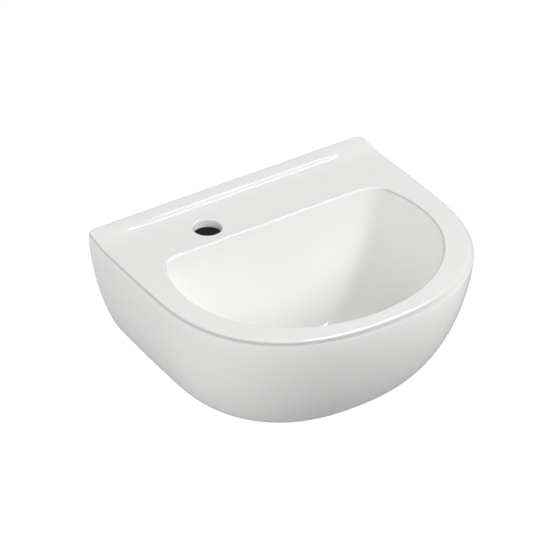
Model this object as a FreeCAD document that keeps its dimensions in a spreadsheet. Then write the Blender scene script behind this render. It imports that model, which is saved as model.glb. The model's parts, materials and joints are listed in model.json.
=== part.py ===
import FreeCAD, Part
import math
import os

import Sketcher

# Wall hung hand-rinse basin with its hanger bracket and push-open waste.
# Millimetres. The wall is the plane Y = 0 and the basin reaches out along -Y, +Z is up.
# The origin is the centre of the four bracket fixings, on the wall.

Vector = FreeCAD.Vector
Rotation = FreeCAD.Rotation
doc = FreeCAD.newDocument("wall_hung_basin")

SIZES = {
    # Ceramic, outside
    "basin_width": 400.0,
    "basin_projection": 350.0,
    "basin_depth": 178.0,
    "closing_allowance": 7.0,
    "rim_above_fixings": 71.0,
    "side_length": 165.0,
    "back_taper": 3.4,
    "back_corner_radius": 12.0,
    "front_fullness": 2.32,
    "skirt_side_roll": 1.35,
    "skirt_side_belly": 3.8,
    "foot_width": 118.0,
    "skirt_front_roll": 1.54,
    "skirt_front_belly": 2.7,
    "foot_behind_outlet": 10.0,
    "rim_edge_radius": 8.0,
    "skirt_wall": 9.0,
    "deck_thickness": 12.0,
    "back_wall": 12.0,
    # Raised ledge along the wall
    "ledge_height": 5.0,
    "ledge_width": 16.0,
    "ledge_blend": 18.0,
    "ledge_full_length": 230.0,
    "ledge_end_blend": 130.0,
    # Bowl
    "bowl_width": 334.0,
    "shelf_depth": 99.0,
    "front_rim": 27.0,
    "bowl_widest_setback": 175.0,
    "bowl_back_fullness": 4.5,
    "bowl_front_fullness": 2.05,
    "bowl_depth": 122.0,
    "bowl_roll": 2.0,
    "bowl_belly": 1.5,
    "bowl_wall": 9.0,
    "lip_radius": 4.0,
    # Tap hole
    "tap_hole_diameter": 35.0,
    "tap_hole_offset": 67.5,
    "tap_hole_to_bowl": 32.5,
    "tap_hole_edge": 1.7,
    # Outlet
    "outlet_setback": 205.0,
    "outlet_diameter": 46.0,
    "outlet_seat_diameter": 72.0,
    "outlet_seat_thickness": 32.0,
    # Hanger bracket
    "lintel_depth": 38.0,
    "window_width": 250.0,
    "window_height": 80.0,
    "bracket_width": 236.0,
    "bracket_height": 62.0,
    "bracket_sheet": 3.0,
    "hook_gap": 1.0,
    "hook_rise": 12.0,
    "bend_radius": 1.0,
    "bracket_hole_diameter": 7.0,
    "fixing_spacing_x": 180.0,
    "fixing_spacing_z": 34.0,
    # Bracket screws and washers
    "screw_diameter": 6.0,
    "screw_length": 60.0,
    "screw_shank_diameter": 5.5,
    "screw_flats": 10.0,
    "screw_head": 4.0,
    "screw_washer_diameter": 16.0,
    "screw_washer_thickness": 1.6,
    "loose_gap": 0.25,
    "grip_gap": 0.05,
    # Lower securing bolts
    "securing_spacing": 200.0,
    "securing_drop": 134.0,
    "securing_diameter": 8.0,
    "securing_wall_thread": 8.4,
    "securing_reach": 28.0,
    "securing_embed": 60.0,
    "securing_hole_diameter": 14.0,
    "bush_flange_diameter": 26.0,
    "bush_flange_thickness": 3.0,
    "securing_washer_diameter": 24.0,
    "securing_washer_thickness": 1.8,
    "securing_nut_flats": 13.0,
    "securing_nut_height": 6.5,
    # Waste
    "thread_diameter": 41.91,
    "waste_bore": 36.0,
    "tail_length": 67.0,
    "relief_depth": 0.9,
    "relief_width": 2.0,
    "relief_gap": 1.5,
    "flange_diameter": 64.0,
    "flange_thickness": 3.0,
    "flange_seal_diameter": 60.0,
    "flange_seal_thickness": 1.5,
    "underside_seal_diameter": 60.0,
    "underside_seal_taper": 4.0,
    "underside_seal_thickness": 6.0,
    "slip_washer_diameter": 58.0,
    "slip_washer_thickness": 2.0,
    "nut_flats": 50.0,
    "nut_height": 9.0,
    "nut_flange_diameter": 56.0,
    "nut_flange_thickness": 2.5,
    "crossbar_width": 5.0,
    "crossbar_height": 8.0,
    "crossbar_hub_diameter": 18.0,
    # Push-open core and plug
    "core_diameter": 22.0,
    "core_height": 34.0,
    "core_collar_diameter": 25.0,
    "core_collar_height": 4.0,
    "core_stem_diameter": 10.0,
    "core_floor": 6.0,
    "core_top_drop": 4.0,
    "spindle_diameter": 12.0,
    "spindle_gap": 0.05,
    "spindle_stud_diameter": 6.0,
    "spindle_stud_length": 6.0,
    "plug_travel": 8.0,
    "spring_diameter": 9.8,
    "spring_wire": 1.2,
    "spring_length": 9.0,
    "seal_gap": 0.3,
    "plug_seal_diameter": 48.0,
    "plug_seal_thickness": 2.5,
    "plug_hub_diameter": 18.0,
    "plug_hub_drop": 3.0,
    "cap_diameter": 61.0,
    "cap_edge": 2.0,
    "cap_crown": 4.0,
}

sheet = doc.addObject("Spreadsheet::Sheet", "sizes")
for row, (alias, value) in enumerate(SIZES.items(), start=1):
    sheet.set(f"A{row}", alias)
    sheet.set(f"B{row}", str(value))
    sheet.setAlias(f"B{row}", alias)
doc.recompute()


def size(alias):
    return float(sheet.get(alias))


def bind(item, **expressions):
    """Bind properties to sheet expressions; a double underscore stands for a dot."""
    for key, expression in expressions.items():
        item.setExpression(key.replace("__", "."), expand(expression))


def expand(expression):
    """Put the sheet's name in front of every size named in an expression."""
    words = expression.replace("(", " ( ").replace(")", " ) ").split()
    return " ".join(f"sizes.{word}" if word in SIZES else word for word in words)


def place(item, x="0", y="0", z="0", rotation=None):
    if rotation is not None:
        item.Placement = FreeCAD.Placement(Vector(0, 0, 0), rotation)
    bind(item, Placement__Base__x=x, Placement__Base__y=y, Placement__Base__z=z)


def named(item, label):
    item.Label = label
    NODES.append(item)
    return item


NODES = []
UPRIGHT = Rotation()
TO_WALL = Rotation(Vector(1, 0, 0), -90)


def cylinder(name, diameter, height, x="0", y="0", z="0", rotation=UPRIGHT):
    item = doc.addObject("Part::Cylinder", name)
    bind(item, Radius=f"( {diameter} ) / 2", Height=height)
    place(item, x, y, z, rotation)
    return item


def hexagon(name, flats, height, x="0", y="0", z="0", rotation=UPRIGHT):
    item = doc.addObject("Part::Prism", name)
    item.Polygon = 6
    bind(item, Circumradius=f"{flats} / 3 ^ 0.5", Height=height)
    place(item, x, y, z, rotation)
    return item


def box(name, length, width, height, x="0", y="0", z="0"):
    item = doc.addObject("Part::Box", name)
    bind(item, Length=length, Width=width, Height=height)
    place(item, x, y, z)
    return item


def cut(name, base, tool):
    item = doc.addObject("Part::Cut", name)
    item.Base = base
    item.Tool = tool
    return item


def fuse(name, *pieces):
    item = doc.addObject("Part::MultiFuse", name)
    item.Shapes = list(pieces)
    return item


def solid_feature(name, shape):
    item = doc.addObject("Part::Feature", name)
    item.Shape = shape
    return item


def origin_plane(body, role):
    return next(item for item in body.Origin.OriginFeatures if item.Role == role)


def polygon_sketch(body, name, role, points):
    """A closed outline whose corners are tied to the sketch's origin by sheet expressions."""
    sketch = body.newObject("Sketcher::SketchObject", name)
    sketch.AttachmentSupport = [(origin_plane(body, role), "")]
    sketch.MapMode = "FlatFace"
    count = len(points)
    start = [Vector(10 + 5 * math.cos(2 * math.pi * i / count), 10 + 5 * math.sin(2 * math.pi * i / count), 0)
             for i in range(count)]
    for i in range(count):
        sketch.addGeometry(Part.LineSegment(start[i], start[(i + 1) % count]), False)
    for i in range(count):
        sketch.addConstraint(Sketcher.Constraint("Coincident", i, 2, (i + 1) % count, 1))
    for i, corner in enumerate(points):
        for kind, axis, expression, now in (("DistanceX", -2, corner[0], start[i].x),
                                            ("DistanceY", -1, corner[1], start[i].y)):
            if expression == "0":
                sketch.addConstraint(Sketcher.Constraint("PointOnObject", i, 1, axis))
                continue
            index = sketch.addConstraint(Sketcher.Constraint(kind, -1, 1, i, 1, now))
            sketch.setExpression(f"Constraints[{index}]", expand(expression))
    return sketch


def turned(label, profile, x="0", y="0", z="0", rotation=UPRIGHT):
    """A piece turned about its own axis from a profile of (radius, height) corners."""
    body = doc.addObject("PartDesign::Body", label)
    sketch = polygon_sketch(body, f"{label}_profile", "XZ_Plane", profile)
    turn = body.newObject("PartDesign::Revolution", f"{label}_turn")
    turn.Profile = sketch
    turn.ReferenceAxis = (sketch, ["V_Axis"])
    turn.Angle = 360
    place(body, x, y, z, rotation)
    return body


def ring(label, outer, inner, height, **where):
    return turned(label, [(f"{inner} / 2", "0"), (f"{outer} / 2", "0"),
                          (f"{outer} / 2", height), (f"{inner} / 2", height)], **where)


# ---------------------------------------------------------------- ceramic outline

RIM_Z = size("rim_above_fixings")
HALF_STEPS = 9
SECTION_STEPS = 10


def smooth_curve(points):
    curve = Part.BSplineCurve()
    curve.interpolate([Vector(*point) for point in points])
    return curve


def shell_outline(half_width, front, side, back, corner, taper, height):
    """D-shaped wire: straight back, rounded back corners, tapering sides and full front."""
    back_half = half_width - taper
    fullness = size("front_fullness")
    right = []
    for i in range(4):
        share = i / 4
        y = back - corner + share * (corner - back - side)
        right.append((back_half + taper * (1 - (1 - share) ** 2), y, height))
    for i in range(HALF_STEPS):
        angle = math.pi / 2 * i / HALF_STEPS
        right.append((half_width * math.cos(angle) ** (2 / fullness),
                      -side - (front - side) * math.sin(angle) ** (2 / fullness), height))
    left = [(-x, y, z) for x, y, z in reversed(right)]
    sweep = smooth_curve(right + [(0, -front, height)] + left)
    reach = corner * math.sqrt(0.5)
    centre_x = back_half - corner
    centre_y = back - corner
    right_corner = Part.Arc(Vector(centre_x, back, height),
                            Vector(centre_x + reach, centre_y + reach, height),
                            Vector(back_half, centre_y, height))
    left_corner = Part.Arc(Vector(-back_half, centre_y, height),
                           Vector(-centre_x - reach, centre_y + reach, height),
                           Vector(-centre_x, back, height))
    back_line = Part.LineSegment(Vector(-centre_x, back, height), Vector(centre_x, back, height))
    return Part.Wire([item.toShape() for item in (back_line, right_corner, sweep, left_corner)])


def skirt_scale(foot, roll, belly, share):
    return foot + (1 - foot) * (1 - share ** roll) ** (1 / belly)


def closing_depth():
    """Depth at which the skirt's curve would close; the real lower edge is a little above it."""
    return size("basin_depth") + size("closing_allowance")


def section_shares():
    """Shares of the closing depth, down to the lower edge and closer together near it."""
    edge = size("rim_edge_radius")
    mean_roll = (size("skirt_side_roll") + size("skirt_front_roll")) / 2
    last = (size("basin_depth") - edge) / (closing_depth() - edge)
    last_angle = math.asin(last ** (mean_roll / 2))
    return [math.sin(last_angle * i / SECTION_STEPS) ** (2 / mean_roll) for i in range(SECTION_STEPS + 1)]


def shell_section(share, wall, back, level):
    """D-shaped section of the skirt at a share of its closing depth, inset by a wall."""
    projection = size("basin_projection")
    side = skirt_scale(size("foot_width") / size("basin_width"), size("skirt_side_roll"),
                       size("skirt_side_belly"), share)
    foot = size("outlet_setback") - size("foot_behind_outlet")
    front = skirt_scale(foot / projection, size("skirt_front_roll"), size("skirt_front_belly"), share)
    return shell_outline(side * size("basin_width") / 2 - wall, front * projection - wall,
                         front * size("side_length"), back, size("back_corner_radius"),
                         size("back_taper"), level)


def shell_solid(wall, back, top, extra):
    """Loft of D-shaped sections, inset from the outside by a wall."""
    start = min(RIM_Z - size("rim_edge_radius"), top)
    bottom = RIM_Z - closing_depth() + wall
    wires = []
    if extra > 0:
        wires.append(shell_section(0.0, wall, back, top + extra))
    for share in section_shares():
        wires.append(shell_section(share, wall, back, start + share * (bottom - start)))
    return Part.makeLoft(wires, True, False)


def service_space():
    """Straight-sided opening in the underside, from the skirt's inside down past its lower edge."""
    wall = size("skirt_wall")
    start = RIM_Z - size("deck_thickness")
    share = section_shares()[-1]
    level = start + share * (RIM_Z - closing_depth() + wall - start)
    mouth = shell_section(share, wall, -size("back_wall"), level)
    return Part.Face(mouth).extrude(Vector(0, 0, -3 * wall))


def bowl_outline(half_width, centre, rear, front, rear_power, front_power, height):
    """Closed curve of two half superellipses that share their widest line."""
    points = []
    count = 4 * HALF_STEPS
    for i in range(count):
        angle = 2 * math.pi * i / count
        cosine = math.cos(angle)
        sine = math.sin(angle)
        power = rear_power if sine > 0 else front_power
        reach = rear if sine > 0 else front
        points.append(Vector(math.copysign(half_width * abs(cosine) ** (2 / power), cosine),
                             centre + math.copysign(reach * abs(sine) ** (2 / power), sine), height))
    curve = Part.BSplineCurve()
    curve.interpolate(Points=points, PeriodicFlag=True)
    return Part.Wire([curve.toShape()])


def bowl_solid(grow, extra):
    """Loft of the bowl, grown outwards and downwards by a wall."""
    seat = size("outlet_seat_diameter") / 2
    widest = size("bowl_widest_setback")
    outlet = size("outlet_setback")
    rear = widest - size("shelf_depth")
    front = size("basin_projection") - size("front_rim") - widest
    half_width = size("bowl_width") / 2
    depth = size("bowl_depth") + grow
    shares = [math.sin(math.pi / 2 * i / SECTION_STEPS) ** (2 / size("bowl_roll"))
              for i in range(SECTION_STEPS + 1)]
    levels = [(RIM_Z - share * depth, share) for share in shares]
    if extra > 0:
        levels.insert(0, (RIM_Z + extra, 0.0))
    wires = []
    for level, share in levels:
        scale = (1 - share ** size("bowl_roll")) ** (1 / size("bowl_belly"))
        wires.append(bowl_outline(seat + (half_width - seat) * scale + grow,
                                  -outlet + (outlet - widest) * scale,
                                  seat + (rear - seat) * scale + grow,
                                  seat + (front - seat) * scale + grow,
                                  2 + (size("bowl_back_fullness") - 2) * scale,
                                  2 + (size("bowl_front_fullness") - 2) * scale, level))
    return Part.makeLoft(wires, True, False)


def deck_profile(station, blend_start, blend_end):
    """Section of the space above the deck: flat shelf, soft step, ledge top at the wall."""
    ledge = RIM_Z + size("ledge_height")
    far = -size("basin_projection") - size("basin_width")
    past = size("basin_width") / 2
    foot = Vector(station, -blend_end, RIM_Z)
    crest = Vector(station, -blend_start, ledge)
    step = Part.BSplineCurve()
    step.interpolate(Points=[foot, (foot + crest) * 0.5, crest],
                     InitialTangent=Vector(0, 1, 0), FinalTangent=Vector(0, 1, 0))
    corners = [crest, Vector(station, past, ledge), Vector(station, past, ledge + past),
               Vector(station, far, ledge + past), Vector(station, far, RIM_Z), foot]
    edges = [step.toShape()]
    for first, second in zip(corners, corners[1:]):
        edges.append(Part.LineSegment(first, second).toShape())
    return Part.Wire(edges)


def deck_space():
    """Ruled through stations along X, so the step widens and fades out at both ends."""
    start = size("ledge_width")
    end = start + size("ledge_blend")
    faded = end + size("ledge_end_blend")
    full = size("ledge_full_length") / 2
    outer = 0.55 * size("basin_width")
    wires = [deck_profile(-outer, start, faded), deck_profile(-full, start, end),
             deck_profile(full, start, end), deck_profile(outer, start, faded)]
    return Part.makeLoft(wires, True, True)


def edges_along(shape, outline, low, high):
    """Numbers of the edges that lie between two levels and run along an outline, seen from above."""
    found = []
    for number, edge in enumerate(shape.Edges, start=1):
        middle = edge.valueAt((edge.FirstParameter + edge.LastParameter) / 2)
        flat = Part.Vertex(Vector(middle.x, middle.y, RIM_Z))
        inside = low - 0.1 < edge.BoundBox.ZMin and edge.BoundBox.ZMax < high + 0.1
        if inside and outline.distToShape(flat)[0] < 0.5:
            found.append(number)
    return found


# ---------------------------------------------------------------- hanger bracket

# One pressed rail: wall plate, shelf under the ceramic's back lintel, and an upturned hook in front.
bracket = doc.addObject("PartDesign::Body", "bracket")
hook_reach = "( back_wall + hook_gap + bracket_sheet )"
profile = [(hook_reach, "0"), (hook_reach, "bracket_height"),
           ("bracket_sheet", "bracket_height"), ("bracket_sheet", "( bracket_height + hook_rise )"),
           ("0", "( bracket_height + hook_rise )"), ("0", "( bracket_height - bracket_sheet )"),
           ("( back_wall + hook_gap )", "( bracket_height - bracket_sheet )"),
           ("( back_wall + hook_gap )", "0")]
rail_sketch = polygon_sketch(bracket, "rail_profile", "YZ_Plane", profile)
rail = bracket.newObject("PartDesign::Pad", "rail")
rail.Profile = rail_sketch
rail.Midplane = True
bind(rail, Length="bracket_width")
place(bracket, y=f"- {hook_reach}", z="rim_above_fixings - lintel_depth - bracket_height")
doc.recompute()

bend_edges = []
for number, edge in enumerate(rail.Shape.Edges, start=1):
    middle = edge.valueAt((edge.FirstParameter + edge.LastParameter) / 2)
    shelf = size("bracket_height")
    corner = (round(middle.y, 3), round(middle.z, 3))
    inner_bends = ((size("bracket_sheet"), shelf),
                   (size("back_wall") + size("hook_gap"), shelf - size("bracket_sheet")))
    if abs(middle.x) < 0.01 and corner in [(round(y, 3), round(z, 3)) for y, z in inner_bends]:
        bend_edges.append(f"Edge{number}")
bends = bracket.newObject("PartDesign::Fillet", "inner_bends")
bends.Base = (rail, bend_edges)
bind(bends, Radius="bend_radius")
doc.recompute()

CORNERS = [(-1, 1), (1, 1), (-1, -1), (1, -1)]
screw_holes = []
for index, (sign_x, sign_z) in enumerate(CORNERS, start=1):
    screw_holes.append(cylinder(f"bracket_hole_{index}", "bracket_hole_diameter", "4 * bracket_sheet",
                                x=f"{sign_x} * fixing_spacing_x / 2", y="- 2 * bracket_sheet",
                                z=f"{sign_z} * fixing_spacing_z / 2", rotation=TO_WALL))
named(cut("bracket_drilled", bracket, fuse("bracket_holes", *screw_holes)), "hanger_bracket")

# ---------------------------------------------------------------- ceramic body

TOP = size("ledge_height")
block = solid_feature("ceramic_block", shell_solid(0.0, 0.0, RIM_Z, TOP))
above = solid_feature("space_above_deck", deck_space())
decked = cut("ceramic_decked", block, above)
bowl = solid_feature("bowl_space", bowl_solid(0.0, 2 * TOP))
tap_hole = cylinder("tap_hole", "tap_hole_diameter", "2 * deck_thickness",
                    x="- tap_hole_offset", y="tap_hole_to_bowl - shelf_depth",
                    z="rim_above_fixings - 1.5 * deck_thickness")
bowled = cut("ceramic_bowled", decked, bowl)
pierced = cut("ceramic_pierced", bowled, tap_hole)
doc.recompute()

rim_line = shell_outline(size("basin_width") / 2, size("basin_projection"), size("side_length"), 0.0,
                         size("back_corner_radius"), size("back_taper"), RIM_Z)
lip_line = bowl_outline(size("bowl_width") / 2, -size("bowl_widest_setback"),
                        size("bowl_widest_setback") - size("shelf_depth"),
                        size("basin_projection") - size("front_rim") - size("bowl_widest_setback"),
                        size("bowl_back_fullness"), size("bowl_front_fullness"), RIM_Z)
tap_line = Part.Wire([Part.makeCircle(size("tap_hole_diameter") / 2,
                                      Vector(-size("tap_hole_offset"),
                                             size("tap_hole_to_bowl") - size("shelf_depth"), RIM_Z))])
softened = doc.addObject("Part::Fillet", "ceramic_softened")
softened.Base = pierced
softened.Edges = [(number, size(radius), size(radius))
                  for line, radius in ((rim_line, "rim_edge_radius"), (lip_line, "lip_radius"),
                                       (tap_line, "tap_hole_edge"))
                  for number in edges_along(pierced.Shape, line, RIM_Z, RIM_Z + TOP)]

inside = solid_feature("skirt_inside",
                       shell_solid(size("skirt_wall"), -size("back_wall"),
                                   RIM_Z - size("deck_thickness"), 0.0))
bowl_shell = solid_feature("bowl_shell", bowl_solid(size("bowl_wall"), 0.0))
outlet_boss = cylinder("outlet_boss", "outlet_seat_diameter", "outlet_seat_thickness",
                       y="- outlet_setback",
                       z="rim_above_fixings - bowl_depth - outlet_seat_thickness")
cavity = cut("service_cavity", inside, fuse("bowl_underside", bowl_shell, outlet_boss))
hollow = cut("ceramic_hollow", softened, cavity)

outlet = cylinder("outlet_hole", "outlet_diameter", "2 * outlet_seat_thickness", y="- outlet_setback",
                  z="rim_above_fixings - bowl_depth - 1.5 * outlet_seat_thickness")
window = box("back_window", "window_width", "3 * back_wall", "window_height",
             x="- window_width / 2", y="- 1.5 * back_wall",
             z="rim_above_fixings - lintel_depth - window_height")
SIDES = (("left", -1), ("right", 1))
# The waste, its back nut and the securing bolts are reached from underneath.
service = solid_feature("service_opening", service_space())
openings = [outlet, window, service]
for side, sign in SIDES:
    openings.append(cylinder(f"securing_hole_{side}", "securing_hole_diameter", "3 * back_wall",
                             x=f"{sign} * securing_spacing / 2", y="- 2 * back_wall",
                             z="rim_above_fixings - securing_drop", rotation=TO_WALL))
named(cut("ceramic", hollow, fuse("ceramic_openings", *openings)), "basin_body")

# ---------------------------------------------------------------- bracket fixings

for index, (sign_x, sign_z) in enumerate(CORNERS, start=1):
    spot = {"x": f"{sign_x} * fixing_spacing_x / 2", "z": f"{sign_z} * fixing_spacing_z / 2",
            "rotation": TO_WALL}
    face = "- bracket_sheet - screw_washer_thickness"
    head = hexagon(f"screw_head_{index}", "screw_flats", "screw_head", y=f"{face} - screw_head", **spot)
    shank = cylinder(f"screw_shank_{index}", "screw_shank_diameter",
                     "bracket_sheet + screw_washer_thickness", y=face, **spot)
    # The thread starts at the wall; its diameter over the crests is the fixing's size.
    thread = cylinder(f"screw_thread_{index}", "screw_diameter",
                      "screw_length - screw_diameter - bracket_sheet - screw_washer_thickness", **spot)
    tip = doc.addObject("Part::Cone", f"screw_tip_{index}")
    bind(tip, Radius1="screw_diameter / 2", Radius2="screw_diameter / 10", Height="screw_diameter")
    place(tip, y=f"{face} + screw_length - screw_diameter", x=spot["x"], z=spot["z"], rotation=TO_WALL)
    named(fuse(f"screw_{index}", head, shank, thread, tip), f"bracket_screw_{index}")
    named(ring(f"washer_{index}", "screw_washer_diameter", "( screw_diameter + 2 * loose_gap )",
               "screw_washer_thickness", y=face, **spot), f"bracket_washer_{index}")

# ---------------------------------------------------------------- lower securing bolts

for side, sign in SIDES:
    spot = {"x": f"{sign} * securing_spacing / 2", "z": "rim_above_fixings - securing_drop",
            "rotation": TO_WALL}
    radius = "securing_diameter / 2"
    crest = "securing_wall_thread / 2"
    length = "( securing_reach + securing_embed )"
    # Machine thread in front of the wall, wood thread with a tapered end in it.
    named(turned(f"bolt_{side}", [("0", "0"), (f"( {radius} - 1 )", "0"), (radius, "1"),
                                  (radius, "securing_reach"), (crest, "securing_reach"),
                                  (crest, f"( {length} - securing_wall_thread )"),
                                  ("securing_wall_thread / 8", length), ("0", length)],
                 y="- securing_reach", **spot),
          f"securing_bolt_{side}")
    bore = f"( {radius} + loose_gap )"
    sleeve = "( securing_hole_diameter / 2 - loose_gap )"
    depth = "( bush_flange_thickness + back_wall )"
    named(turned(f"bush_{side}", [(bore, "0"), ("bush_flange_diameter / 2", "0"),
                                  ("bush_flange_diameter / 2", "bush_flange_thickness"),
                                  (sleeve, "bush_flange_thickness"), (sleeve, depth), (bore, depth)],
                 y=f"- {depth}", **spot), f"securing_bush_{side}")
    named(ring(f"lower_washer_{side}", "securing_washer_diameter",
               "( securing_diameter + 2 * loose_gap )", "securing_washer_thickness",
               y=f"- {depth} - securing_washer_thickness", **spot), f"securing_washer_{side}")
    nut_face = f"- {depth} - securing_washer_thickness - securing_nut_height"
    block_nut = hexagon(f"nut_block_{side}", "securing_nut_flats", "securing_nut_height",
                        y=nut_face, **spot)
    nut_bore = cylinder(f"nut_bore_{side}", "securing_diameter + 2 * grip_gap",
                        "3 * securing_nut_height", y=f"{nut_face} - securing_nut_height", **spot)
    named(cut(f"nut_{side}", block_nut, nut_bore), f"securing_nut_{side}")

# ---------------------------------------------------------------- waste

BOWL_FLOOR = "rim_above_fixings - bowl_depth"
FLANGE_BASE = f"{BOWL_FLOOR} + flange_seal_thickness"
OUTLET = {"y": "- outlet_setback"}
clear_bore = "( thread_diameter + 2 * loose_gap )"

# The relief groove is cut just below the tightened back nut.
relief_top = ("( tail_length - flange_seal_thickness - outlet_seat_thickness - underside_seal_thickness"
              " - slip_washer_thickness - nut_height - relief_gap )")
relief_base = f"( {relief_top} - relief_width )"
thread = "thread_diameter / 2"
tube = turned("waste_tube",
              [("waste_bore / 2", "0"), (thread, "0"), (thread, relief_base),
               (f"( {thread} - relief_depth )", relief_base), (f"( {thread} - relief_depth )", relief_top),
               (thread, relief_top), (thread, "tail_length"), ("flange_diameter / 2", "tail_length"),
               ("flange_diameter / 2", "( tail_length + flange_thickness / 3 )"),
               ("( flange_diameter / 2 - flange_thickness / 2 )", "( tail_length + flange_thickness )"),
               ("waste_bore / 2", "( tail_length + flange_thickness )")],
              z=f"{FLANGE_BASE} - tail_length", **OUTLET)
hub_top = f"{BOWL_FLOOR} - core_top_drop - core_height"
hub = cylinder("crossbar_hub", "crossbar_hub_diameter", "crossbar_height",
               z=f"{hub_top} - crossbar_height", **OUTLET)
bar_length = "( waste_bore + 1 )"
bar_x = box("crossbar_x", bar_length, "crossbar_width", "crossbar_height",
            x=f"- {bar_length} / 2", y="- outlet_setback - crossbar_width / 2",
            z=f"{hub_top} - crossbar_height")
bar_y = box("crossbar_y", "crossbar_width", bar_length, "crossbar_height",
            x="- crossbar_width / 2", y=f"- outlet_setback - {bar_length} / 2",
            z=f"{hub_top} - crossbar_height")
stem_hole = cylinder("stem_hole", "core_stem_diameter + 2 * grip_gap", "3 * crossbar_height",
                     z=f"{hub_top} - 2 * crossbar_height", **OUTLET)
named(cut("waste", fuse("waste_cast", tube, hub, bar_x, bar_y), stem_hole), "waste_body")

named(ring("upper_seal", "flange_seal_diameter", clear_bore, "flange_seal_thickness",
           z=BOWL_FLOOR, **OUTLET), "flange_seal")
seal_base = f"{BOWL_FLOOR} - outlet_seat_thickness - underside_seal_thickness"
seal_outer = "underside_seal_diameter / 2"
named(turned("lower_seal", [(f"{clear_bore} / 2", "0"), (seal_outer, "0"),
                            (seal_outer, "( underside_seal_thickness / 3 )"),
                            (f"( {seal_outer} - underside_seal_taper )", "underside_seal_thickness"),
                            (f"{clear_bore} / 2", "underside_seal_thickness")],
             z=seal_base, **OUTLET), "underside_seal")
named(ring("slip_ring", "slip_washer_diameter", clear_bore, "slip_washer_thickness",
           z=f"{seal_base} - slip_washer_thickness", **OUTLET), "slip_washer")
nut_base = f"{seal_base} - slip_washer_thickness - nut_height"
nut_block = hexagon("back_nut_block", "nut_flats", "nut_height", z=nut_base, **OUTLET)
nut_flange = cylinder("back_nut_flange", "nut_flange_diameter", "nut_flange_thickness",
                      z=f"{nut_base} + nut_height - nut_flange_thickness", **OUTLET)
nut_hole = cylinder("back_nut_bore", "thread_diameter + 2 * grip_gap", "3 * nut_height",
                    z=f"{nut_base} - nut_height", **OUTLET)
named(cut("back_nut_cut", fuse("back_nut_solid", nut_block, nut_flange), nut_hole), "back_nut")

# ---------------------------------------------------------------- push-open core and plug

core_bore = "( spindle_diameter / 2 + spindle_gap )"
collar_base = "( crossbar_height + core_height - core_collar_height )"
core_top = "( crossbar_height + core_height )"
chamber_floor = "( crossbar_height + core_floor )"
named(turned("core", [("0", "0"), ("core_stem_diameter / 2", "0"),
                      ("core_stem_diameter / 2", "crossbar_height"),
                      ("core_diameter / 2", "crossbar_height"), ("core_diameter / 2", collar_base),
                      ("core_collar_diameter / 2", collar_base), ("core_collar_diameter / 2", core_top),
                      (core_bore, core_top), (core_bore, chamber_floor), ("0", chamber_floor)],
             z=f"{hub_top} - crossbar_height", **OUTLET), "cartridge")
spring_base = f"{hub_top} + core_floor"
named(ring("spring", "spring_diameter", "( spring_diameter - 2 * spring_wire )", "spring_length",
           z=spring_base, **OUTLET), "push_spring")

# The plug stands on the flange: seal, then cap, with the cap's hub reaching down to the spindle.
SEAT = f"{FLANGE_BASE} + flange_thickness + seal_gap"
hub_base = f"{SEAT} - plug_hub_drop"
spindle_length = ("( flange_seal_thickness + flange_thickness + seal_gap - plug_hub_drop"
                  " + core_top_drop + core_height - core_floor - spring_length )")
stud_top = f"( {spindle_length} + spindle_stud_length )"
stud = "spindle_stud_diameter / 2"
named(turned("spindle", [("0", "0"), ("spindle_diameter / 2", "0"),
                         ("spindle_diameter / 2", spindle_length), (stud, spindle_length),
                         (stud, stud_top), ("0", stud_top)],
             z=f"{spring_base} + spring_length", **OUTLET), "plug_spindle")
named(ring("cap_seal", "plug_seal_diameter", "( plug_hub_diameter + 2 * grip_gap )",
           "plug_seal_thickness", z=SEAT, **OUTLET), "plug_seal")
cap_base = f"{SEAT} + plug_seal_thickness"
cap_disc = cylinder("cap_disc", "cap_diameter", "cap_edge + cap_crown", z=cap_base, **OUTLET)
dome = doc.addObject("Part::Sphere", "cap_dome")
dome_radius = "( ( cap_diameter / 2 ) ^ 2 + cap_crown ^ 2 ) / ( 2 * cap_crown )"
bind(dome, Radius=dome_radius)
place(dome, z=f"{cap_base} + cap_edge + cap_crown - {dome_radius}", **OUTLET)
crowned = doc.addObject("Part::Common", "cap_crowned")
crowned.Base = cap_disc
crowned.Tool = dome
cap_hub = cylinder("cap_hub", "plug_hub_diameter", "plug_hub_drop + plug_seal_thickness + cap_edge / 2",
                   z=hub_base, **OUTLET)
stud_hole = cylinder("stud_socket", "spindle_stud_diameter + 2 * grip_gap", "2 * spindle_stud_length",
                     z=f"{hub_base} - spindle_stud_length", **OUTLET)
named(cut("cap", fuse("cap_solid", crowned, cap_hub), stud_hole), "plug_cap")

# ---------------------------------------------------------------- checks and files

doc.recompute()
for item in doc.Objects:
    if {"Invalid", "Error"} & set(item.State):
        raise RuntimeError(f"{item.Name} failed: {item.State}")

os.makedirs("parts", exist_ok=True)
for item in NODES:
    shape = item.Shape
    if shape.isNull() or not shape.isValid() or len(shape.Solids) != 1:
        raise RuntimeError(f"{item.Label} is not one valid solid")
    shape.exportStep(f"parts/{item.Label}.step")
    bounds = shape.BoundBox
    print(f"{item.Label:22s} {shape.Volume / 1000:9.2f} cm3  "
          f"X {bounds.XMin:7.1f} {bounds.XMax:7.1f}  Y {bounds.YMin:7.1f} {bounds.YMax:7.1f}  "
          f"Z {bounds.ZMin:7.1f} {bounds.ZMax:7.1f}")
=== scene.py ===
import json
import math

import bmesh
import bpy
import numpy as np
from mathutils import Matrix, Vector
from mathutils.geometry import delaunay_2d_cdt


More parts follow.
